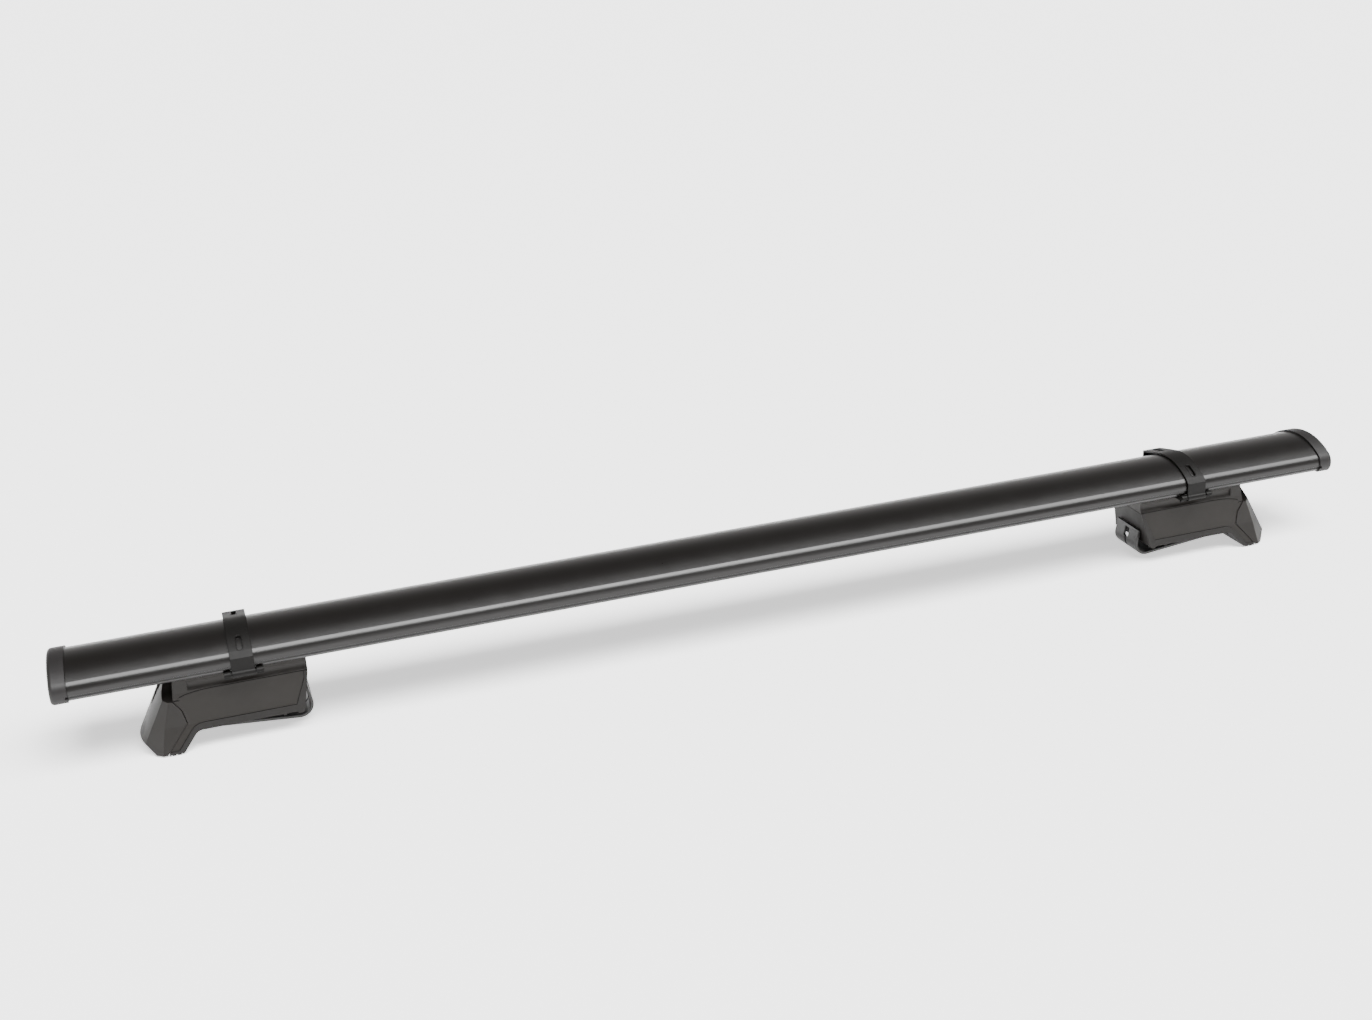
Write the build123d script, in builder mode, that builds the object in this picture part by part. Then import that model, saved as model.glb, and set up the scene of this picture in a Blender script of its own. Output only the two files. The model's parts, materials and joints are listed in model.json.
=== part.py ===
from build123d import *
from math import asin, atan2, cos, radians, sin, sqrt, tan
import os

os.makedirs("parts", exist_ok=True)

# Roof rack crossbar: one wing-section bar on two clamp feet, in millimetres.
# X runs along the bar, -Y is the front, Z is up, and the feet stand on Z = 0.
# Every foot piece is modelled on the right foot (+X) and mirrored for the left one.

# Bar
bar_length = 1235.0
bar_chord = 82.0
bar_height = 28.0
bar_underside = 68.5
crown_radius = 64.0
nose_radius = 11.0
heel_radius = 2.5
bar_wall = 2.2
web_place = 14.0
web_thickness = 2.0
groove_height = 2.6
groove_depth = 1.4
groove_level = 4.9
bead_radius = 0.75

# End caps
cap_depth = 14.5
cap_proud = 1.5
cap_round = 3.4
plug_length = 22.0
plug_fit = 0.2
drain_notch = 2.2

# Feet: where they stand on the bar, and the sections of the moulded body
foot_spacing = 944.0
foot_forward = 3.0
slide_gap = 0.3
seam_gap = 0.4
saddle_level = 65.5
saddle_half_depth = 25.5
saddle_rear = 31.5
saddle_shelf = 3.5
seam_level = 52.8
seam_half_depth = 26.5
ledge_level = 23.5
ledge_half_depth = 31.5
toe_half_depth = 37.5

# Side outline of the housings, in distances outboard of the strap's middle
inner_end = -54.3
outer_top_x = 60.5
panel_top_x = -50.5
panel_break_z = 47.0
panel_toe_x = -40.4
seam_bend = (28.0, 45.6, 57.4)
seam_drop = (51.8, 49.0)
apex_x = 63.2
apex_z = 46.4
edge_bend_x = 56.5
edge_bend_z = 37.0
knee_x = 53.9
knee_z = 25.1
leg_angle = 50.0
leg_foot_x = 61.0
rib_foot_x = 67.0
sole_end_x = 73.0
sole_thickness = 2.8
haunch_radius = 14.0
channel_radius = 5.5
channel_depth = 1.2
channel_z = 58.6

# Hollows of the lower housing
tub_inner_x = -37.0
tub_outer_x = 29.0
tub_roof = 47.0
tub_half_depth = 22.0
boss_diameter = 17.0
boss_level = 42.6
rib_thickness = 2.5
chamber_inner_x = 33.5
chamber_half_depth = 9.0
chamber_top = 34.0
eye_room_half_depth = 21.2
eye_room_top = 22.2
seat_half_depth = 15.0
seat_top = 36.0

# End cover
face_top_x = 64.5
face_top_z = 60.9
face_bottom_x = 92.0
face_bottom_z = 9.0
cover_base = 0.8
cover_toe_x = 84.0
face_bow = 3.6
ridge_half_width = 24.0
facet_angle = 49.0
cover_lift = 0.6
cover_wall = 2.6
bell_foot = 36.0
bell_foot_z = 45.2
bell_shoulder = (17.5, 51.5)
bell_neck = 10.5
bell_top = 59.0
tongue_thickness = 5.0

# Rubber underside pad
pad_proud = 0.8
pad_underside = 17.5
bulb_radius = 4.2
bulb_x = -43.0
bulb_z = 20.0
arch_round = 9.0
sole_round = 6.0
bump_x = -29.0
bump_radius = 1.3
window_inner_x = 17.0
tread_pitch = 4.5
tread_width = 1.4
tread_depth = 0.9

# Strap, the rods in its hems, and the plate that draws it down
strap_width = 20.0
strap_thickness = 1.6
front_fold_angle = 45.0
rear_fold_angle = 76.4
rod_diameter = 3.2
rod_length = 34.0
rod_out = 0.6
rod_drop = 1.8
slot_width = 4.4
slot_places = (23.0, 37.0)
plate_thickness = 3.5
plate_setback = 4.2
hook_width = 6.0
hook_thickness = 1.8
plate_gap = 0.4

# Fasteners
thread_diameter = 6.0
head_diameter = 10.0
head_height = 6.0
socket_size = 5.0
socket_depth = 3.2
hole_clearance = 0.3
access_diameter = 12.0
running_fit = 0.08
rest_gap = 0.1

# Rail band, its pin and the screw-driven traveller
band_width = 40.0
band_thickness = 2.4
band_lip = 13.0
curl_x = -43.0
curl_z = 16.5
curl_radius = 11.2
curl_end_angle = 107.0
pin_x = 46.0
pin_z = 17.0
pin_diameter = 4.2
pin_length = 41.0
knuckle_half_width = 6.0
clamp_z = 27.0
traveller_length = 10.0
traveller_half_width = 8.0
traveller_top = 32.0
keyhole_width = 8.0
keyhole_bottom = 18.8
keyhole_top = 28.6
keyhole_slit = 3.0
slit_bottom = 7.0
bearing_x = 55.0
bearing_thickness = 2.5
bearing_half_depth = 13.0
bearing_bottom = 21.6
bearing_top = 33.4
bolt_tip_x = 35.0

# Lock in the end cover
lock_z = 52.0
sleeve_diameter = 10.4
core_diameter = 7.4
lock_front_x = 61.2
cam_reach = 8.8
cam_width = 4.0
cam_thickness = 2.0
cam_room = 0.6
key_slot_width = 1.2
key_slot_height = 4.6
key_slot_depth = 2.0
teardrop_bottom = 34.0
teardrop_end_radius = 1.8
teardrop_rim = 0.7
teardrop_depth = 1.2

# Places worked out from the sizes above
half_chord = bar_chord / 2
bar_end = bar_length / 2
strap_x = foot_spacing / 2
strap_out = slide_gap + strap_thickness
hem_radius = rod_diameter / 2 + strap_thickness
rod_y = half_chord + rod_out
rear_reach = rod_y + rod_diameter / 2 + hook_thickness
front_reach = foot_forward + toe_half_depth + pad_proud
bar_y = (front_reach - rear_reach) / 2
foot_y = bar_y - foot_forward
nose_y = half_chord - nose_radius
crown_z = bar_height - crown_radius
nose_z = crown_z + sqrt((crown_radius - nose_radius) ** 2 - nose_y**2)
heel_y = nose_y + sqrt(nose_radius**2 - nose_z**2)
blend_angle = atan2(nose_z - crown_z, nose_y)
blend_y = crown_radius * cos(blend_angle)
blend_z = crown_z + crown_radius * sin(blend_angle)
leg_rise = tan(radians(leg_angle))
rib_corner_x = rib_foot_x - ledge_level / leg_rise
rib_toe_x = rib_foot_x - sole_thickness / leg_rise
edge_toe_x = knee_x + (knee_z - sole_thickness) / leg_rise
tongue_back_x = apex_x - tongue_thickness
face_lean = atan2(face_bottom_x - face_top_x, face_top_z - face_bottom_z)

side = Plane(origin=(strap_x, foot_y, 0), x_dir=(1, 0, 0), z_dir=(0, -1, 0))


def across(x):
    """Upright plane square to the bar, x outboard of the strap, on the foot's middle."""
    return Plane(origin=(strap_x + x, foot_y, 0), x_dir=(0, 1, 0), z_dir=(1, 0, 0))


def level(z):
    """Flat plane at height z under the strap, on the foot's middle."""
    return Plane(origin=(strap_x, foot_y, z), x_dir=(1, 0, 0), z_dir=(0, 0, 1))


def bar_plane(x):
    """Upright plane square to the bar, its origin in the middle of the bar's underside."""
    return Plane(origin=(x, bar_y, bar_underside), x_dir=(0, 1, 0), z_dir=(1, 0, 0))


def face_plane():
    """Plane square to the leaning outer face: local X points out of that face."""
    return Plane(
        origin=(strap_x + face_top_x, foot_y, face_top_z),
        x_dir=(cos(face_lean), 0, sin(face_lean)),
        z_dir=(-sin(face_lean), 0, cos(face_lean)),
    )


def face_front(out):
    """Plane parallel to the leaning outer face, moved out: local Y climbs the face."""
    return Plane(
        origin=(strap_x + face_top_x, foot_y, face_top_z),
        x_dir=(0, 1, 0),
        z_dir=(cos(face_lean), 0, sin(face_lean)),
    ).offset(out)


def wing_face(place, grow=0.0):
    """Bar section on a plane, grown all round: flat underside, round noses, crowned top."""
    with BuildSketch(place) as drawn:
        with BuildLine():
            Line((-heel_y, 0), (heel_y, 0))
            ThreePointArc((heel_y, 0), (half_chord, nose_z), (blend_y, blend_z))
            ThreePointArc((blend_y, blend_z), (0, bar_height), (-blend_y, blend_z))
            ThreePointArc((-blend_y, blend_z), (-half_chord, nose_z), (-heel_y, 0))
        make_face()
        fillet(drawn.vertices().group_by(Axis.Y)[0], heel_radius)
        if grow:
            offset(amount=grow)
    return drawn.sketch


def chamber_face(place, fit=0.0):
    """The three long chambers inside the bar, less a fitting clearance."""
    with BuildSketch(place) as drawn:
        add(wing_face(Plane.XY, -bar_wall - fit))
        with Locations((-web_place, bar_height / 2), (web_place, bar_height / 2)):
            Rectangle(web_thickness + 2 * fit, bar_height, mode=Mode.SUBTRACT)
    return drawn.sketch


def flank_face(x, grow=0.0):
    """Section of the foot's body: near-upright saddle, then sides that splay to the toe."""
    with BuildSketch(across(x)) as drawn:
        with BuildLine():
            Polyline(
                (-toe_half_depth - grow, 0),
                (-ledge_half_depth - grow, ledge_level),
                (-seam_half_depth - grow, seam_level),
                (-saddle_half_depth - grow, saddle_level),
                (saddle_half_depth + grow, saddle_level),
                (seam_half_depth + grow, seam_level),
                (ledge_half_depth + grow, ledge_level),
                (toe_half_depth + grow, 0),
                close=True,
            )
        make_face()
    return drawn.sketch


def bell_face(x, grow=0.0):
    """Upper edge of the end cover: shoulders that sweep up into a tongue for the lock."""
    with BuildSketch(across(x)) as drawn:
        for hand in (-1, 1):
            with BuildLine():
                ThreePointArc(
                    (hand * (bell_foot + grow), bell_foot_z + grow),
                    (hand * (bell_shoulder[0] + grow), bell_shoulder[1] + grow),
                    (hand * (bell_neck + grow), bell_top + grow),
                )
                Polyline(
                    (hand * (bell_neck + grow), bell_top + grow),
                    (0, bell_top + grow),
                    (0, -face_top_z),
                    (hand * (2 * toe_half_depth), -face_top_z),
                    (hand * (2 * toe_half_depth), bell_foot_z + grow),
                    (hand * (bell_foot + grow), bell_foot_z + grow),
                )
            make_face()
    return drawn.sketch


def hand_in(piece, name):
    """Write the right-hand piece and its mirror image for the left end."""
    for end, shape in (("right", piece.part), ("left", mirror(piece.part, about=Plane.YZ))):
        shape.label = f"{end}_{name}"
        export_step(shape, f"parts/{end}_{name}.step")


# Crossbar: hollow wing-section extrusion with two webs and a beaded groove under each nose
with BuildPart() as crossbar:
    extrude(wing_face(bar_plane(0)), amount=bar_end, both=True)
    extrude(chamber_face(bar_plane(0)), amount=bar_end, both=True, mode=Mode.SUBTRACT)
    with BuildSketch(bar_plane(0)):
        with Locations((-half_chord, groove_level), (half_chord, groove_level)):
            Rectangle(2 * groove_depth, groove_height)
    extrude(amount=bar_end, both=True, mode=Mode.SUBTRACT)
    bead_y = half_chord - bead_radius
    bead_z = groove_level + groove_height / 2
    with BuildSketch(bar_plane(0)):
        with Locations((-bead_y, bead_z), (bead_y, bead_z)):
            Circle(bead_radius)
    extrude(amount=bar_end, both=True)
crossbar.part.label = "crossbar"
export_step(crossbar.part, "parts/crossbar.step")

# End cap: a plug in the bar's chambers and a proud head with a rounded outer edge
with BuildPart() as end_cap:
    extrude(wing_face(bar_plane(bar_end), cap_proud), amount=cap_depth)
    fillet(end_cap.faces().sort_by(Axis.X)[-1].edges(), cap_round)
    extrude(chamber_face(bar_plane(bar_end), plug_fit), amount=-plug_length)
    with BuildSketch(bar_plane(bar_end)):
        with Locations((-half_chord - cap_proud, groove_level), (half_chord + cap_proud, groove_level)):
            Rectangle(2 * (cap_proud + groove_depth), groove_height)
    extrude(amount=drain_notch, mode=Mode.SUBTRACT)
hand_in(end_cap, "end_cap")

# Strap: band over the bar, folded past each nose, its ends rolled round rods; the rear fold stands off the bar
folds = (
    (-1, nose_y, nose_z, nose_radius, radians(front_fold_angle)),
    (1, 0, crown_z, crown_radius, radians(rear_fold_angle)),
)
with BuildPart() as strap:
    with BuildSketch(bar_plane(strap_x)):
        for reach, mode in ((strap_out, Mode.ADD), (slide_gap, Mode.SUBTRACT)):
            add(wing_face(Plane.XY, reach), mode=mode)
            tab_y = half_chord + reach
            for hand, arc_y, arc_z, arc_radius, fold in folds:
                out = arc_radius + reach
                fold_z = arc_z + (out - (tab_y - arc_y) * cos(fold)) / sin(fold)
                with BuildLine():
                    Polyline(
                        (hand * nose_y, nose_z),
                        (hand * (arc_y + out * cos(fold)), arc_z + out * sin(fold)),
                        (hand * tab_y, fold_z),
                        (hand * tab_y, -rod_drop),
                        (hand * nose_y, -rod_drop),
                        close=True,
                    )
                make_face(mode=mode)
        Rectangle(2 * (half_chord - rod_out), 2 * nose_z, mode=Mode.SUBTRACT)
        with Locations((-rod_y, -rod_drop), (rod_y, -rod_drop)):
            Circle(hem_radius)
            Circle(rod_diameter / 2, mode=Mode.SUBTRACT)
    extrude(amount=strap_width / 2, both=True)
    with BuildSketch(Plane.XY.offset(bar_underside + nose_z)):
        slot_y = (slot_places[0] + slot_places[1]) / 2
        with Locations((strap_x, bar_y - slot_y), (strap_x, bar_y + slot_y)):
            SlotOverall(slot_places[1] - slot_places[0], slot_width, rotation=90)
    extrude(amount=bar_height, mode=Mode.SUBTRACT)
hand_in(strap, "strap")

# Strap rods: two short steel rods in the strap's rolled ends
with BuildPart() as strap_rods:
    with BuildSketch(bar_plane(strap_x)):
        with Locations((-rod_y, -rod_drop), (rod_y, -rod_drop)):
            Circle(rod_diameter / 2)
    extrude(amount=rod_length / 2, both=True)
    chamfer(strap_rods.edges().filter_by(GeomType.CIRCLE), 0.3)
hand_in(strap_rods, "strap_rods")

# Clamp plate: tapped plate under the bar, its forked ends hooked over the rods
with BuildPart() as clamp_plate:
    with BuildSketch(bar_plane(strap_x)):
        with Locations((0, -plate_gap - plate_thickness / 2)):
            Rectangle(2 * (half_chord - plate_setback), plate_thickness)
    extrude(amount=rod_length / 2, both=True)
    hook_radius = rod_diameter / 2 + hook_thickness
    with BuildSketch(bar_plane(strap_x - rod_length / 2), bar_plane(strap_x + rod_length / 2 - hook_width)):
        for hand in (-1, 1):
            with Locations((hand * rod_y, -rod_drop)):
                Circle(hook_radius)
            with Locations((hand * (rod_y - hook_radius), -plate_gap - plate_thickness / 2)):
                Rectangle(2 * hook_radius, plate_thickness)
            with Locations((hand * (rod_y + hook_radius / 2), -rod_drop - hook_radius / 2)):
                Rectangle(hook_radius, hook_radius, mode=Mode.SUBTRACT)
            with Locations((hand * rod_y, -rod_drop)):
                Circle(rod_diameter / 2, mode=Mode.SUBTRACT)
    extrude(amount=hook_width)
    with Locations(Plane.XY.offset(bar_underside)):
        with Locations((strap_x, bar_y)):
            Hole(thread_diameter / 2)
hand_in(clamp_plate, "clamp_plate")

# Strap screw: cap screw that stands upright through both housings into the clamp plate
with BuildPart() as strap_screw:
    screw_tip = bar_underside - plate_gap
    with BuildSketch(Plane.XY.offset(boss_level)):
        with Locations((strap_x, bar_y)):
            Circle(thread_diameter / 2)
    extrude(amount=screw_tip - boss_level)
    with BuildSketch(Plane.XY.offset(boss_level)):
        with Locations((strap_x, bar_y)):
            Circle(head_diameter / 2)
    extrude(amount=-head_height)
    with BuildSketch(Plane.XY.offset(boss_level - head_height)):
        with Locations((strap_x, bar_y)):
            RegularPolygon(socket_size / 2, 6, major_radius=False)
    extrude(amount=socket_depth, mode=Mode.SUBTRACT)
    chamfer(strap_screw.edges().group_by(Axis.Z)[-1], 0.5)
hand_in(strap_screw, "strap_screw")

# Saddle pads: rubber sheets between housing and bar, either side of the clamp plate
with BuildPart() as saddle_pads:
    pad_clear = rod_length / 2 + seam_gap
    pad_middle_y = (saddle_rear - saddle_half_depth) / 2
    pad_width = saddle_rear + saddle_half_depth - 2
    with BuildSketch(level(saddle_level)):
        for x0, x1 in ((inner_end + 2, -pad_clear), (pad_clear, outer_top_x - 6)):
            with Locations(((x0 + x1) / 2, pad_middle_y)):
                RectangleRounded(x1 - x0, pad_width, 3)
    extrude(amount=bar_underside - slide_gap - saddle_level)
    fillet(saddle_pads.edges().group_by(Axis.Z)[-1], 0.8)
hand_in(saddle_pads, "saddle_pads")

# Upper housing: moulded saddle block between the bar and the seam
with BuildPart() as upper_housing:
    extrude(flank_face(inner_end), amount=apex_x - inner_end + 5)
    with BuildSketch(across(inner_end)):
        with BuildLine():
            Polyline(
                (0, seam_level),
                (seam_half_depth, seam_level),
                (saddle_rear, saddle_level - saddle_shelf),
                (saddle_rear, saddle_level),
                (0, saddle_level),
                close=True,
            )
        make_face()
    extrude(amount=outer_top_x - inner_end - 8)
    with BuildSketch(side):
        with BuildLine():
            Polyline(
                (seam_bend[0], seam_level),
                (inner_end, seam_level),
                (inner_end, saddle_level),
                (outer_top_x, saddle_level),
                (apex_x, apex_z),
            )
            Spline(
                (apex_x, apex_z),
                (seam_bend[2], seam_drop[1]),
                (seam_bend[1], seam_drop[0]),
                (seam_bend[0], seam_level),
                tangents=((-1, 0.45), (-1, 0)),
            )
        make_face()
    extrude(amount=2 * toe_half_depth, both=True, mode=Mode.INTERSECT)
    fillet(upper_housing.edges().filter_by(Axis.Z).group_by(Axis.X)[0], 2)
    with BuildSketch(across(inner_end)):
        with Locations((-saddle_half_depth - channel_radius, channel_z)):
            Circle(channel_radius + channel_depth)
    extrude(amount=apex_x - inner_end - 14, mode=Mode.SUBTRACT)
    with BuildSketch(level(saddle_level)):
        with Locations((0, pad_middle_y)):
            Rectangle(2 * pad_clear, 2 * saddle_rear + 2)
    extrude(amount=-(plate_gap + plate_thickness + slide_gap - (bar_underside - saddle_level)), mode=Mode.SUBTRACT)
    with Locations(Plane.XY.offset(saddle_level)):
        with Locations((strap_x, bar_y)):
            Hole(thread_diameter / 2 + hole_clearance)
    extrude(bell_face(tongue_back_x - seam_gap, seam_gap), amount=face_bottom_x, mode=Mode.SUBTRACT)
    with BuildSketch(across(tongue_back_x - cam_thickness - 2 * cam_room)):
        with Locations((0, lock_z)):
            Circle(cam_reach + cam_room)
    extrude(amount=cam_thickness + 2 * cam_room, mode=Mode.SUBTRACT)
hand_in(upper_housing, "upper_housing")

# Lower housing: splayed side panels, a leg, and hollows for the band and its screw
with BuildPart() as lower_housing:
    extrude(flank_face(inner_end), amount=2 * face_bottom_x)
    with BuildSketch(side) as housing_outline:
        with BuildLine():
            Polyline(
                (seam_bend[0], seam_level),
                (panel_top_x, seam_level),
                (panel_top_x, panel_break_z),
                (panel_toe_x, ledge_level),
                (rib_corner_x, ledge_level),
                (rib_toe_x, sole_thickness),
                (edge_toe_x, sole_thickness),
                (knee_x, knee_z),
                (edge_bend_x, edge_bend_z),
                (apex_x, apex_z),
            )
            Spline(
                (apex_x, apex_z),
                (seam_bend[2], seam_drop[1]),
                (seam_bend[1], seam_drop[0]),
                (seam_bend[0], seam_level),
                tangents=((-1, 0.45), (-1, 0)),
            )
        make_face()
        haunch = housing_outline.vertices().group_by(Axis.Y)[1].sort_by(Axis.X)[-1]
        fillet(haunch, haunch_radius)
    extrude(amount=2 * toe_half_depth, both=True, mode=Mode.INTERSECT)
    with BuildSketch(side):
        with BuildLine():
            Polyline(
                (knee_x - 6, bearing_bottom - 1),
                (bearing_x, bearing_bottom - 1),
                (bearing_x, seat_top),
                (knee_x - 6, seat_top),
                close=True,
            )
        make_face()
    extrude(amount=seat_half_depth, both=True)
    with BuildSketch(side):
        tub_middle = (tub_inner_x + tub_outer_x) / 2
        with Locations((tub_middle, (tub_roof + ledge_level) / 2 - 1)):
            Rectangle(tub_outer_x - tub_inner_x, tub_roof - ledge_level + 2)
    extrude(amount=tub_half_depth, both=True, mode=Mode.SUBTRACT)
    with BuildSketch(Plane.XY.offset(boss_level)):
        with Locations((strap_x, bar_y)):
            Circle(boss_diameter / 2)
        with Locations((strap_x - tub_outer_x / 2, foot_y), (strap_x + tub_outer_x / 2, foot_y)):
            Rectangle(rib_thickness, 2 * tub_half_depth)
    extrude(amount=tub_roof - boss_level)
    with Locations(Plane.XY.offset(seam_level)):
        with Locations((strap_x, bar_y)):
            Hole(thread_diameter / 2 + hole_clearance)
    with BuildSketch(side):
        chamber_middle = (chamber_inner_x + bearing_x) / 2
        with Locations((chamber_middle, chamber_top / 2)):
            Rectangle(bearing_x - chamber_inner_x, chamber_top)
    extrude(amount=chamber_half_depth, both=True, mode=Mode.SUBTRACT)
    with BuildSketch(side):
        with BuildLine():
            Polyline(
                (chamber_inner_x, 0),
                (bearing_x - 1.2, 0),
                (bearing_x - 1.2, eye_room_top),
                (chamber_inner_x, eye_room_top),
                close=True,
            )
        make_face()
    extrude(amount=eye_room_half_depth, both=True, mode=Mode.SUBTRACT)
    with BuildSketch(across(bearing_x)):
        with Locations((0, (bearing_bottom + bearing_top) / 2)):
            Rectangle(2 * (bearing_half_depth + rest_gap), bearing_top - bearing_bottom + 2 * rest_gap)
    extrude(amount=bearing_x, mode=Mode.SUBTRACT)
    with BuildPart(mode=Mode.PRIVATE) as bell_room:
        extrude(bell_face(tongue_back_x - seam_gap, seam_gap), amount=face_bottom_x)
        with BuildSketch(level(apex_z - seam_gap)):
            Rectangle(2 * face_bottom_x, 3 * toe_half_depth)
        extrude(amount=bar_underside, mode=Mode.INTERSECT)
    add(bell_room.part, mode=Mode.SUBTRACT)
    with BuildSketch(across(tongue_back_x - cam_thickness - 2 * cam_room)):
        with Locations((0, lock_z)):
            Circle(cam_reach + cam_room)
    extrude(amount=cam_thickness + 2 * cam_room, mode=Mode.SUBTRACT)
hand_in(lower_housing, "lower_housing")

# Underside pad: rubber shoe round the inner end, the arch, the leg and the sole
with BuildPart() as underside_pad:
    extrude(flank_face(inner_end, pad_proud), amount=2 * face_bottom_x)
    with BuildSketch(side) as pad_outline:
        with BuildLine():
            Polyline(
                (inner_end, seam_level),
                (bulb_x - bulb_radius, bulb_z),
                (bulb_x - bulb_radius, pad_underside),
                (leg_foot_x - pad_underside / leg_rise, pad_underside),
                (leg_foot_x, 0),
                (sole_end_x, 0),
                (sole_end_x, sole_thickness),
                (rib_toe_x, sole_thickness),
                (rib_corner_x, ledge_level),
                (panel_toe_x, ledge_level),
                (panel_top_x, panel_break_z),
                (panel_top_x, seam_level),
                close=True,
            )
        make_face()
        for corner, radius in (
            ((rib_corner_x, ledge_level), haunch_radius),
            ((leg_foot_x - pad_underside / leg_rise, pad_underside), arch_round),
            ((leg_foot_x, 0), sole_round),
            ((bulb_x - bulb_radius, pad_underside), bulb_radius / 2),
        ):
            fillet(pad_outline.vertices().sort_by_distance(corner)[0], radius)
        with Locations((bulb_x, bulb_z)):
            Circle(bulb_radius)
        with Locations((bump_x, pad_underside)):
            Circle(bump_radius)
    extrude(amount=2 * toe_half_depth, both=True, mode=Mode.INTERSECT)
    fillet(underside_pad.edges().group_by(Axis.X)[0], 1.2)
    with BuildSketch(level(0)):
        with Locations(((window_inner_x + bearing_x) / 2, 0)):
            RectangleRounded(bearing_x - window_inner_x, 2 * eye_room_half_depth, 2)
    extrude(amount=ledge_level + 1, mode=Mode.SUBTRACT)
    with BuildSketch(Plane.XY):
        with Locations((strap_x, bar_y)):
            Circle(access_diameter / 2)
    extrude(amount=ledge_level + 1, mode=Mode.SUBTRACT)
    with BuildSketch(side):
        with Locations(((leg_foot_x + sole_end_x) / 2, 0)):
            with GridLocations(tread_pitch, 1, 3, 1):
                Rectangle(tread_width, 2 * tread_depth)
    extrude(amount=2 * toe_half_depth, both=True, mode=Mode.SUBTRACT)
hand_in(underside_pad, "underside_pad")


def cover_block(inset):
    """Splayed, faceted end block with its leaning, slightly bowed outer face."""
    with BuildPart() as block:
        extrude(flank_face(0, cover_lift - inset), amount=2 * face_bottom_x)
        with BuildSketch(face_plane()):
            drop = 2 * toe_half_depth
            with BuildLine():
                ThreePointArc((-inset, -ridge_half_width), (face_bow - inset, 0), (-inset, ridge_half_width))
                Polyline(
                    (-inset, ridge_half_width),
                    (-inset - drop * tan(radians(facet_angle)), ridge_half_width + drop),
                    (-2 * drop, ridge_half_width + drop),
                    (-2 * drop, -ridge_half_width - drop),
                    (-inset - drop * tan(radians(facet_angle)), -ridge_half_width - drop),
                    (-inset, -ridge_half_width),
                )
            make_face()
        extrude(amount=2 * drop, both=True, mode=Mode.INTERSECT)
    return block.part


# End cover: faceted shell over the foot's outer end, with a tongue for the lock
with BuildPart() as end_cover:
    add(cover_block(0))
    gap = seam_gap
    with BuildSketch(side):
        with BuildLine():
            Polyline(
                (apex_x + gap, apex_z),
                (edge_bend_x + gap, edge_bend_z),
                (knee_x + gap, knee_z),
                (edge_toe_x - (cover_base - sole_thickness) / leg_rise + gap, cover_base),
                (cover_toe_x, cover_base),
                (face_bottom_x, face_bottom_z),
                (face_bottom_x + face_bow / cos(face_lean), face_bottom_z),
                (face_bottom_x, bell_top),
                (tongue_back_x, bell_top),
                (tongue_back_x, apex_z),
                close=True,
            )
        make_face()
    extrude(amount=2 * toe_half_depth, both=True, mode=Mode.INTERSECT)
    extrude(bell_face(0), amount=2 * face_bottom_x, mode=Mode.INTERSECT)
    with BuildPart(mode=Mode.PRIVATE) as hollow:
        add(cover_block(cover_wall))
        with BuildSketch(side):
            with BuildLine():
                Polyline(
                    (0, cover_base + cover_wall),
                    (cover_toe_x - cover_wall, cover_base + cover_wall),
                    (face_bottom_x, face_bottom_z + cover_wall),
                    (face_bottom_x, apex_z - cover_wall),
                    (0, apex_z - cover_wall),
                    close=True,
                )
            make_face()
        extrude(amount=2 * toe_half_depth, both=True, mode=Mode.INTERSECT)
    add(hollow.part, mode=Mode.SUBTRACT)
    with BuildSketch(across(tongue_back_x)):
        with Locations((0, lock_z)):
            Circle(sleeve_diameter / 2)
    extrude(amount=face_bottom_x, mode=Mode.SUBTRACT)
    with BuildSketch(face_front(face_bow - teardrop_depth)):
        with Locations((0, (lock_z - face_top_z) / cos(face_lean))):
            Circle(sleeve_diameter / 2 + teardrop_rim)
        with Locations((0, (teardrop_bottom - face_top_z) / cos(face_lean) + teardrop_end_radius)):
            Circle(teardrop_end_radius)
        make_hull()
    extrude(amount=face_bow + teardrop_depth, mode=Mode.SUBTRACT)
hand_in(end_cover, "end_cover")

# Lock barrel: plain sleeve pressed into the end cover's tongue
with BuildPart() as lock_barrel:
    with BuildSketch(across(tongue_back_x)):
        with Locations((0, lock_z)):
            Circle(sleeve_diameter / 2)
            Circle(core_diameter / 2 + running_fit, mode=Mode.SUBTRACT)
    extrude(amount=lock_front_x - tongue_back_x)
    chamfer(lock_barrel.edges().group_by(Axis.X)[-1], 0.4)
hand_in(lock_barrel, "lock_barrel")

# Lock cylinder: keyed core with the cam that swings up behind the housing's lip
with BuildPart() as lock_cylinder:
    cam_back_x = tongue_back_x - rest_gap - cam_thickness
    with BuildSketch(across(cam_back_x)):
        with Locations((0, lock_z)):
            Circle(core_diameter / 2)
        with Locations((cam_reach / 2 - cam_width / 4, lock_z)):
            Rectangle(cam_reach - cam_width / 2, cam_width)
        with Locations((cam_reach - cam_width / 2, lock_z)):
            Circle(cam_width / 2)
    extrude(amount=cam_thickness)
    with BuildSketch(across(cam_back_x)):
        with Locations((0, lock_z)):
            Circle(core_diameter / 2)
    extrude(amount=lock_front_x - rest_gap - cam_back_x)
    with BuildSketch(across(lock_front_x - rest_gap)):
        with Locations((0, lock_z)):
            SlotOverall(key_slot_height, key_slot_width, rotation=90)
    extrude(amount=-key_slot_depth, mode=Mode.SUBTRACT)
hand_in(lock_cylinder, "lock_cylinder")

# Bearing plate: steel plate the clamp bolt's head pulls against
with BuildPart() as bearing_plate:
    with BuildSketch(across(bearing_x)):
        with Locations((0, (bearing_bottom + bearing_top) / 2)):
            RectangleRounded(2 * bearing_half_depth, bearing_top - bearing_bottom, 2)
        with Locations((0, clamp_z)):
            Circle(thread_diameter / 2 + hole_clearance, mode=Mode.SUBTRACT)
    extrude(amount=bearing_thickness)
hand_in(bearing_plate, "bearing_plate")

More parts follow.
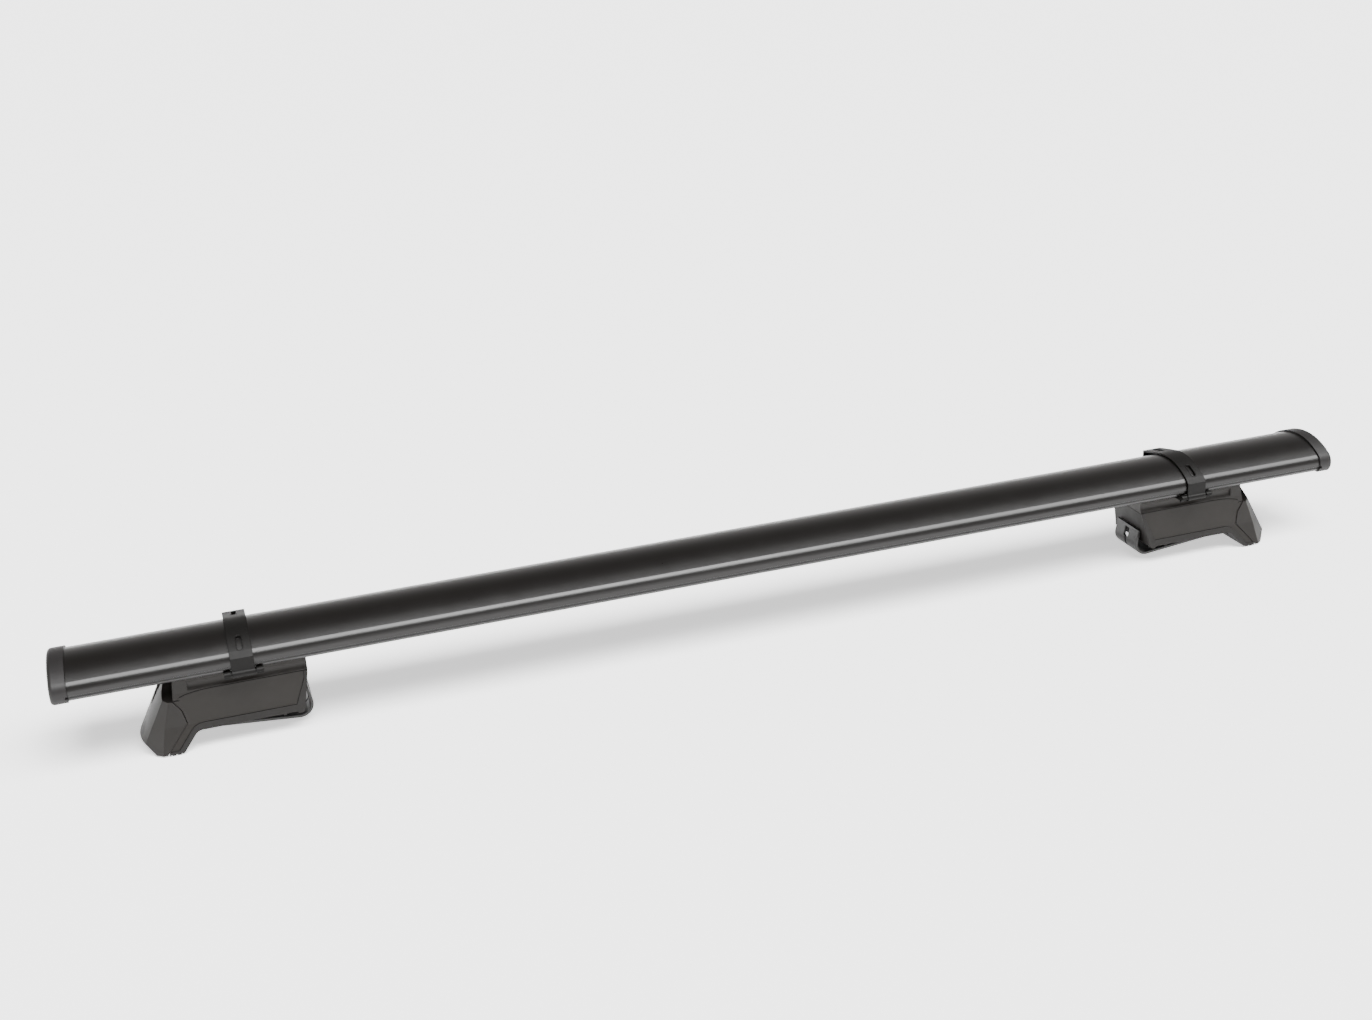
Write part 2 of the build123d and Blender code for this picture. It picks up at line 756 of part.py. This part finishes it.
# Clamp bolt: socket-headed bolt along the bar that draws the traveller outboard
with BuildPart() as clamp_bolt:
    head_x = bearing_x + bearing_thickness + rest_gap
    with BuildSketch(across(bolt_tip_x)):
        with Locations((0, clamp_z)):
            Circle(thread_diameter / 2)
    extrude(amount=head_x - bolt_tip_x)
    chamfer(clamp_bolt.edges().group_by(Axis.X)[0], 0.8)
    with BuildSketch(across(head_x)):
        with Locations((0, clamp_z)):
            Circle(head_diameter / 2)
    extrude(amount=head_height)
    with BuildSketch(across(head_x + head_height)):
        with Locations((0, clamp_z)):
            RegularPolygon(socket_size / 2, 6, major_radius=False)
    extrude(amount=-socket_depth, mode=Mode.SUBTRACT)
hand_in(clamp_bolt, "clamp_bolt")

# Traveller: tapped block on the clamp bolt, its tongue holding the band's pin
with BuildPart() as traveller:
    with BuildSketch(across(pin_x - traveller_length / 2)):
        with Locations((0, (eye_room_top + traveller_top) / 2)):
            Rectangle(2 * traveller_half_width, traveller_top - eye_room_top)
    extrude(amount=traveller_length)
    with BuildSketch(side):
        with Locations((pin_x, (pin_z + traveller_top) / 2)):
            Rectangle(traveller_length - 1, traveller_top - pin_z)
        with Locations((pin_x, pin_z)):
            Circle((traveller_length - 1) / 2)
    extrude(amount=knuckle_half_width, both=True)
    with BuildSketch(side):
        with Locations((pin_x, pin_z)):
            Circle(pin_diameter / 2)
    extrude(amount=pin_length, both=True, mode=Mode.SUBTRACT)
    with BuildSketch(across(bolt_tip_x)):
        with Locations((0, clamp_z)):
            Circle(thread_diameter / 2 + running_fit)
    extrude(amount=bearing_x - bolt_tip_x, mode=Mode.SUBTRACT)
hand_in(traveller, "traveller")

# Band pin: cross pin through the traveller's tongue and both of the band's eyes
with BuildPart() as band_pin:
    with BuildSketch(side):
        with Locations((pin_x, pin_z)):
            Circle(pin_diameter / 2)
    extrude(amount=pin_length / 2, both=True)
    chamfer(band_pin.edges().group_by(Axis.Y)[0] + band_pin.edges().group_by(Axis.Y)[-1], 0.4)
hand_in(band_pin, "band_pin")

# Rail band: sprung steel band from the pin, under the rail, curled up at the inner end
eye_middle = pin_diameter / 2 + running_fit + band_thickness / 2
span_x = pin_x - curl_x
span_z = pin_z - curl_z
band_slope = atan2(span_z, span_x) + asin((curl_radius - eye_middle) / sqrt(span_x**2 + span_z**2))
curl_start = (curl_x + curl_radius * sin(band_slope), curl_z - curl_radius * cos(band_slope))
eye_start = (pin_x + eye_middle * sin(band_slope), pin_z - eye_middle * cos(band_slope))
curl_turn = band_slope - radians(curl_end_angle)
curl_half = band_slope - radians(curl_end_angle) / 2
curl_middle = (curl_x + curl_radius * sin(curl_half), curl_z - curl_radius * cos(curl_half))
curl_end = (curl_x + curl_radius * sin(curl_turn), curl_z - curl_radius * cos(curl_turn))
lip_end = (curl_end[0] - band_lip * cos(curl_turn), curl_end[1] - band_lip * sin(curl_turn))
with BuildPart() as rail_band:
    with BuildSketch(side):
        with BuildLine():
            Line(eye_start, curl_start)
            ThreePointArc(curl_start, curl_middle, curl_end)
            Line(curl_end, lip_end)
        trace(line_width=band_thickness)
        with Locations((pin_x, pin_z)):
            Circle(eye_middle + band_thickness / 2)
            Circle(eye_middle - band_thickness / 2, mode=Mode.SUBTRACT)
    extrude(amount=band_width / 2, both=True)
    with BuildSketch(side):
        with Locations((pin_x, pin_z)):
            Circle(traveller_length)
    extrude(amount=knuckle_half_width + slide_gap, both=True, mode=Mode.SUBTRACT)
    with BuildSketch(across(curl_x - 2 * curl_radius)):
        with Locations((0, (keyhole_bottom + keyhole_top) / 2)):
            RectangleRounded(keyhole_width, keyhole_top - keyhole_bottom, 1)
        with Locations((0, (keyhole_bottom + slit_bottom) / 2)):
            RectangleRounded(keyhole_slit, keyhole_bottom - slit_bottom + 2, 1)
    extrude(amount=2 * curl_radius - 2, mode=Mode.SUBTRACT)
hand_in(rail_band, "rail_band")
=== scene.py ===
# %% [markdown]
# # Roof rack crossbar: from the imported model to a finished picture
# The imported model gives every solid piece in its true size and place. This lesson adds finishes, a few
# small pieces that are easier to shape as a mesh, light, and a camera placed as in the photo.

import math

import bpy
from mathutils import Matrix, Vector
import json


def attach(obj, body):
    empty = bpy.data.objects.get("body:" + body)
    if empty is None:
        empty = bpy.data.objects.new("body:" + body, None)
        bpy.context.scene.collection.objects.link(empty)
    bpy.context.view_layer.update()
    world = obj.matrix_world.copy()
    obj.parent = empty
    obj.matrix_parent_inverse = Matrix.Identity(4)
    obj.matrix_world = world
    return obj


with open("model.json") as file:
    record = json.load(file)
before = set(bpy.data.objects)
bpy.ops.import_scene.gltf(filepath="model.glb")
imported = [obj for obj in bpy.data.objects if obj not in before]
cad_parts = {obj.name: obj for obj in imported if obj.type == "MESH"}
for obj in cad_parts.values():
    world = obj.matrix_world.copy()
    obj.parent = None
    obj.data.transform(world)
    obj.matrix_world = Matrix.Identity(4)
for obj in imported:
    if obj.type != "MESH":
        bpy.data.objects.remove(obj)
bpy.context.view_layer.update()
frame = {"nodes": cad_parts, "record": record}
nodes = frame["nodes"]

# %% [markdown]
# ## Camera
# The photo was taken from close by on the front left, a little above the bar, with a normal lens. The
# place and the three angles below were worked out from the long edges of the bar and the two feet.

# %% Camera
PHOTO_WIDTH = 1372
FOCAL_PIXELS = 1752.3
SENSOR_WIDTH = 36.0
AZIMUTH, ELEVATION, ROLL = (math.radians(a) for a in (-16.363, 21.846, -3.560))
CAMERA_PLACE = Vector((-0.4816, -1.4665, 0.7414))

level = math.cos(ELEVATION)
toward = Vector((-math.sin(AZIMUTH) * level, math.cos(AZIMUTH) * level, -math.sin(ELEVATION)))
right = toward.cross(Vector((0, 0, 1))).normalized()
up = right.cross(toward)
right, up = (
    right * math.cos(ROLL) + up * math.sin(ROLL),
    up * math.cos(ROLL) - right * math.sin(ROLL),
)
camera_data = bpy.data.cameras.new("camera")
camera_data.sensor_fit = "HORIZONTAL"
camera_data.sensor_width = SENSOR_WIDTH
camera_data.lens = FOCAL_PIXELS / PHOTO_WIDTH * SENSOR_WIDTH
camera_data.clip_start = 0.05
camera = bpy.data.objects.new("camera", camera_data)
bpy.context.scene.collection.objects.link(camera)
camera.matrix_world = Matrix.Translation(CAMERA_PLACE) @ Matrix((right, up, -toward)).transposed().to_4x4()
bpy.context.scene.camera = camera
print("lens", round(camera_data.lens, 2))

# %% [markdown]
# ## Studio
# The photo has a plain white ground and black pieces with long, soft highlights. A black piece only
# looks black where it mirrors something dark, so the sky is kept dim. Two very wide overhead lights, side
# by side, whiten the floor and lay one long band on the bar: the far end of the bar mirrors the right one.
# A low lamp at the left lights the end faces.

# %% Floor and sky
bpy.ops.mesh.primitive_plane_add(size=60.0, location=(0, 0, -0.0005))
floor = bpy.context.object
floor.name = "floor"
floor_finish = bpy.data.materials.new("floor_white")
floor_finish.use_nodes = True
floor_shader = floor_finish.node_tree.nodes["Principled BSDF"]
floor_shader.inputs["Base Color"].default_value = (0.92, 0.92, 0.92, 1)
floor_shader.inputs["Roughness"].default_value = 0.9
floor_shader.inputs["Specular IOR Level"].default_value = 0.1
floor_shader.inputs["Emission Color"].default_value = (1, 1, 1, 1)
floor_shader.inputs["Emission Strength"].default_value = 0.9
floor.data.materials.append(floor_finish)

sky = bpy.data.worlds.new("studio")
bpy.context.scene.world = sky
sky.use_nodes = True
sky_nodes = sky.node_tree.nodes
sky_place = sky_nodes.new("ShaderNodeTexCoord")
sky_split = sky_nodes.new("ShaderNodeSeparateXYZ")
sky_fade = sky_nodes.new("ShaderNodeMapRange")
sky_fade.inputs["From Min"].default_value = 0.0
sky_fade.inputs["From Max"].default_value = 0.7
sky_fade.inputs["To Min"].default_value = 1.1
sky_fade.inputs["To Max"].default_value = 0.16
sky.node_tree.links.new(sky_place.outputs["Generated"], sky_split.inputs["Vector"])
sky.node_tree.links.new(sky_split.outputs["Z"], sky_fade.inputs["Value"])
sky.node_tree.links.new(sky_fade.outputs["Result"], sky_nodes["Background"].inputs["Strength"])
sky_nodes["Background"].inputs["Color"].default_value = (1, 0.985, 0.97, 1)
print("floor", tuple(floor.dimensions), "sky", sky.name)

# %% Lamps
OVERHEAD_SPREAD = math.radians(38)
OVERHEAD_LEAN = math.radians(20)


def add_lamp(name, place, aim, size, power):
    """Adds one square soft lamp that faces a point."""
    data = bpy.data.lights.new(name, "AREA")
    data.shape = "SQUARE"
    data.size = size
    data.energy = power
    lamp = bpy.data.objects.new(name, data)
    bpy.context.scene.collection.objects.link(lamp)
    lamp.location = place
    lamp.rotation_euler = (Vector(aim) - Vector(place)).to_track_quat("-Z", "Y").to_euler()


def add_overhead(name, power, sideways):
    """Adds one very wide light that comes from above the front, leaning sideways by an angle."""
    data = bpy.data.lights.new(name, "SUN")
    data.energy = power
    data.angle = OVERHEAD_SPREAD
    lamp = bpy.data.objects.new(name, data)
    bpy.context.scene.collection.objects.link(lamp)
    lamp.rotation_euler = (OVERHEAD_LEAN, math.radians(sideways), 0)


add_overhead("overhead_middle", 5.5, 0)
add_overhead("overhead_right", 4.5, 29)
add_lamp("lamp_left", (-2.2, -0.35, 0.45), (-0.5, 0, 0.05), 0.9, 10)
add_lamp("lamp_front", (0.3, -2.6, 0.5), (0.1, 0, 0.03), 1.4, 9)
print("lamps", sorted(lamp.name for lamp in bpy.data.lights))

# %% [markdown]
# ## Finishes
# Every finish is built from nodes: a base colour and a roughness that varies a little. A finish with grain
# also gets a fine bump and a normal that rounds the edges, since no moulded or pressed piece has a knife
# edge. Textures use object coordinates, so a pattern keeps its true size on long and short pieces alike.

# %% Finish helper
GRAIN_SIZE = 0.00035
GRAIN_DEPTH = 0.00012
EDGE_RADIUS = 0.0007


def make_finish(name, color, roughness, specular=0.5, grain=0.0, mottle=0.08, metallic=0.0):
    """A finish with slightly uneven roughness and, where it has grain, a fine moulded or blasted skin."""
    finish = bpy.data.materials.new(name)
    finish.use_nodes = True
    tree = finish.node_tree
    shader = tree.nodes["Principled BSDF"]
    shader.inputs["Base Color"].default_value = (*color, 1)
    shader.inputs["Metallic"].default_value = metallic
    shader.inputs["Specular IOR Level"].default_value = specular
    place = tree.nodes.new("ShaderNodeTexCoord")
    cloud = tree.nodes.new("ShaderNodeTexNoise")
    cloud.inputs["Scale"].default_value = 60.0
    cloud.inputs["Detail"].default_value = 3.0
    spread = tree.nodes.new("ShaderNodeMapRange")
    spread.inputs["To Min"].default_value = roughness - mottle
    spread.inputs["To Max"].default_value = roughness + mottle
    tree.links.new(place.outputs["Object"], cloud.inputs["Vector"])
    tree.links.new(cloud.outputs["Fac"], spread.inputs["Value"])
    tree.links.new(spread.outputs["Result"], shader.inputs["Roughness"])
    if grain:
        fine = tree.nodes.new("ShaderNodeTexNoise")
        fine.inputs["Scale"].default_value = 1.0 / GRAIN_SIZE
        fine.inputs["Detail"].default_value = 2.0
        soft_edge = tree.nodes.new("ShaderNodeBevel")
        soft_edge.samples = 6
        soft_edge.inputs["Radius"].default_value = EDGE_RADIUS
        bump = tree.nodes.new("ShaderNodeBump")
        bump.inputs["Strength"].default_value = grain
        bump.inputs["Distance"].default_value = GRAIN_DEPTH
        tree.links.new(place.outputs["Object"], fine.inputs["Vector"])
        tree.links.new(fine.outputs["Fac"], bump.inputs["Height"])
        tree.links.new(soft_edge.outputs["Normal"], bump.inputs["Normal"])
        tree.links.new(bump.outputs["Normal"], shader.inputs["Normal"])
    return finish


# %% The finish of each kind of piece
finishes = {
    "bar_aluminium": make_finish(
        "bar_anodised", (0.0036, 0.0030, 0.0027), 0.29, specular=0.4, grain=0.04, mottle=0.03
    ),
    "cap_plastic": make_finish("cap_charcoal", (0.0075, 0.0066, 0.0066), 0.5, specular=0.3, grain=0.35),
    "housing_plastic": make_finish(
        "housing_charcoal", (0.0062, 0.0048, 0.0035), 0.5, specular=0.28, grain=0.35
    ),
    "cover_plastic": make_finish("cover_charcoal", (0.006, 0.0048, 0.0038), 0.48, specular=0.28, grain=0.3),
    "pad_rubber": make_finish("pad_rubber", (0.0048, 0.0041, 0.0034), 0.6, specular=0.3, grain=0.25),
    "strap_steel": make_finish("strap_black", (0.003, 0.0027, 0.0024), 0.48, specular=0.14, grain=0.12),
    "band_steel": make_finish("band_black", (0.0045, 0.004, 0.0036), 0.4, specular=0.4, grain=0.15),
    "bright_steel": make_finish("zinc_steel", (0.4, 0.4, 0.4), 0.35, metallic=1.0),
    "lock_metal": make_finish("lock_steel", (0.35, 0.35, 0.35), 0.3, metallic=1.0),
}
for entry in frame["record"]["subparts"]:
    piece = nodes[entry["node"]]
    piece.data.materials.clear()
    piece.data.materials.append(finishes[entry["material_slot"]])
seam_finish = make_finish("seam_black", (0.0015, 0.0014, 0.0013), 0.8, specular=0.1)
print("finishes", len(finishes))

# %% [markdown]
# ## Seam cords
# Where the saddle block meets the lower housing, and where the rubber shoe wraps it, the real foot
# shows a thin dark line. A solid model has no such line, so a fine cord is laid along each joint. It
# could be a curve with a round bevel; here a small ring is extruded from corner to corner and turned
# at each one, which is how a pipe is pulled by hand and keeps the number of faces low.

# %% Where the feet are, and how deep their sides stand at each height
STRAP_X = 0.472
FOOT_Y = -0.00485
FLANK = ((0.0, 0.0375), (0.0235, 0.0315), (0.0528, 0.0265), (0.0655, 0.0255))
SEAM_LEVEL = FLANK[2][0]


def half_depth(z):
    """How far the foot's side stands from its middle plane at a height."""
    for (z0, d0), (z1, d1) in zip(FLANK, FLANK[1:]):
        if z <= z1:
            return d0 + (d1 - d0) * (z - z0) / (z1 - z0)
    return FLANK[-1][1]


print("half depth at the seam", half_depth(SEAM_LEVEL))


# %% Helper that pulls a cord
def pull_cord(name, points, radius):
    """Extrudes a ring through points and turns it into the bisecting plane at each corner."""
    steps = [(b - a).normalized() for a, b in zip(points, points[1:])]
    facing = [steps[0]] + [(a + b).normalized() for a, b in zip(steps, steps[1:])] + [steps[-1]]
    bpy.ops.object.select_all(action="DESELECT")
    bpy.ops.mesh.primitive_circle_add(vertices=8, radius=radius, fill_type="NGON", location=points[0])
    cord = bpy.context.object
    cord.name = name
    cord.rotation_mode = "QUATERNION"
    cord.rotation_quaternion = steps[0].to_track_quat("Z", "Y")
    bpy.ops.object.transform_apply(location=True, rotation=True, scale=True)
    bpy.ops.object.mode_set(mode="EDIT")
    for before, after, was, now in zip(points, points[1:], facing, facing[1:]):
        bpy.ops.mesh.extrude_region_move(TRANSFORM_OT_translate={"value": after - before})
        turn = was.rotation_difference(now)
        if turn.angle > 0.001:
            bpy.ops.object.mode_set(mode="OBJECT")
            for vertex in [v for v in cord.data.vertices if v.select]:
                vertex.co = after + turn @ (vertex.co - after)
            bpy.ops.object.mode_set(mode="EDIT")
    bpy.ops.mesh.select_all(action="SELECT")
    bpy.ops.mesh.remove_doubles(threshold=0.000001)
    bpy.ops.mesh.normals_make_consistent(inside=False)
    bpy.ops.object.mode_set(mode="OBJECT")
    bpy.ops.object.shade_smooth_by_angle(angle=math.radians(50))
    cord.data.materials.append(seam_finish)
    return cord


# %% Lay the cords, each run being places along the foot and heights
CORD_RADIUS = 0.00032
SHOE_PROUD = 0.0002
UPPER_SEAM = (
    (-0.0543, SEAM_LEVEL),
    (0.0280, SEAM_LEVEL),
    (0.0370, 0.05255),
    (0.0456, 0.0518),
    (0.0524, 0.0506),
    (0.0574, 0.0490),
)
SHOE_SEAM = (
    (-0.0505, 0.0522),
    (-0.0505, 0.0470),
    (-0.0404, 0.0235),
    (0.0405, 0.0235),
    (0.0442, 0.0230),
    (0.0472, 0.0218),
    (0.0497, 0.0199),
    (0.0515, 0.0180),
    (0.0640, 0.0036),
)
cords = 0
for side, hand in (("left", -1), ("right", 1)):
    for face, way in (("front", -1), ("rear", 1)):
        for seam, run, proud in (("upper", UPPER_SEAM, 0.0), ("shoe", SHOE_SEAM, SHOE_PROUD)):
            path = [Vector((hand * (STRAP_X + x), FOOT_Y + way * (half_depth(z) + proud), z)) for x, z in run]
            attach(pull_cord(f"{side}_{seam}_seam_{face}", path, CORD_RADIUS), f"{side}_foot")
            cords += 1
print("seam cords", cords)

# %% [markdown]
# ## Pressed rims on the straps
# Each strap has a slot before and behind its crest, and the press leaves a low rim round it. The rim could
# be cut from the strap's own surface, but the strap is bent, so the rim is drawn flat as a long ring above
# it, dropped onto it with a shrinkwrap, and only then given its thickness and its soft edge.

# %% Slot rims
BAR_Y = -0.00185
SLOT_MIDDLE = 0.030
SLOT_STRAIGHT = 0.0048
RIM_RADIUS = 0.00235
RIM_CORNERS = 28
RIM_SPREAD = (1.36, 1.12, 1)
RIM_THICKNESS = 0.0004
RIM_LIFT = 0.00005
RIM_EDGE = 0.00012
ABOVE_STRAP = 0.11


def press_rim(name, side, hand, way):
    """A low stadium-shaped rim round one strap slot."""
    middle = Vector((hand * STRAP_X, BAR_Y + way * SLOT_MIDDLE, ABOVE_STRAP))
    half_step = math.pi / RIM_CORNERS
    bpy.ops.object.select_all(action="DESELECT")
    bpy.ops.mesh.primitive_circle_add(
        vertices=RIM_CORNERS,
        radius=RIM_RADIUS,
        fill_type="NOTHING",
        location=middle,
        rotation=(0, 0, half_step),
    )
    rim = bpy.context.object
    rim.name = name
    bpy.ops.object.transform_apply(location=True, rotation=True, scale=True)
    for end in (-1, 1):
        bpy.ops.object.mode_set(mode="EDIT")
        bpy.ops.mesh.select_mode(type="VERT")
        bpy.ops.mesh.select_all(action="DESELECT")
        bpy.ops.object.mode_set(mode="OBJECT")
        for vertex in rim.data.vertices:
            vertex.select = (vertex.co.y - middle.y) * end > 0.00001
        bpy.ops.object.mode_set(mode="EDIT")
        bpy.ops.transform.translate(value=(0, end * SLOT_STRAIGHT, 0))
        bpy.ops.object.mode_set(mode="OBJECT")
    bpy.ops.object.mode_set(mode="EDIT")
    bpy.ops.mesh.select_all(action="SELECT")
    bpy.ops.mesh.extrude_edges_move()
    bpy.ops.transform.resize(value=RIM_SPREAD, center_override=middle)
    bpy.ops.mesh.select_all(action="SELECT")
    bpy.ops.mesh.subdivide(number_cuts=1)
    bpy.ops.object.mode_set(mode="OBJECT")
    wrap = rim.modifiers.new("drop", "SHRINKWRAP")
    wrap.target = nodes[f"{side}_strap"]
    wrap.wrap_method = "PROJECT"
    wrap.use_project_z = True
    wrap.use_negative_direction = True
    wrap.use_positive_direction = False
    wrap.offset = RIM_LIFT
    thick = rim.modifiers.new("thickness", "SOLIDIFY")
    thick.thickness = RIM_THICKNESS
    thick.offset = 0.0
    soft = rim.modifiers.new("soft", "BEVEL")
    soft.width = RIM_EDGE
    soft.segments = 2
    for step in ("drop", "thickness", "soft"):
        bpy.ops.object.modifier_apply(modifier=step)
    bpy.ops.object.mode_set(mode="EDIT")
    bpy.ops.mesh.select_all(action="SELECT")
    bpy.ops.mesh.normals_make_consistent(inside=False)
    bpy.ops.object.mode_set(mode="OBJECT")
    bpy.ops.object.shade_smooth_by_angle(angle=math.radians(40))
    rim.data.materials.append(finishes["strap_steel"])
    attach(rim, f"{side}_foot")
    return rim


for side, hand in (("left", -1), ("right", 1)):
    for face, way in (("front", -1), ("rear", 1)):
        rim = press_rim(f"{side}_slot_rim_{face}", side, hand, way)
        top = max(corner[2] for corner in rim.bound_box)
        print(rim.name, "faces", len(rim.data.polygons), "top", round(top, 4))
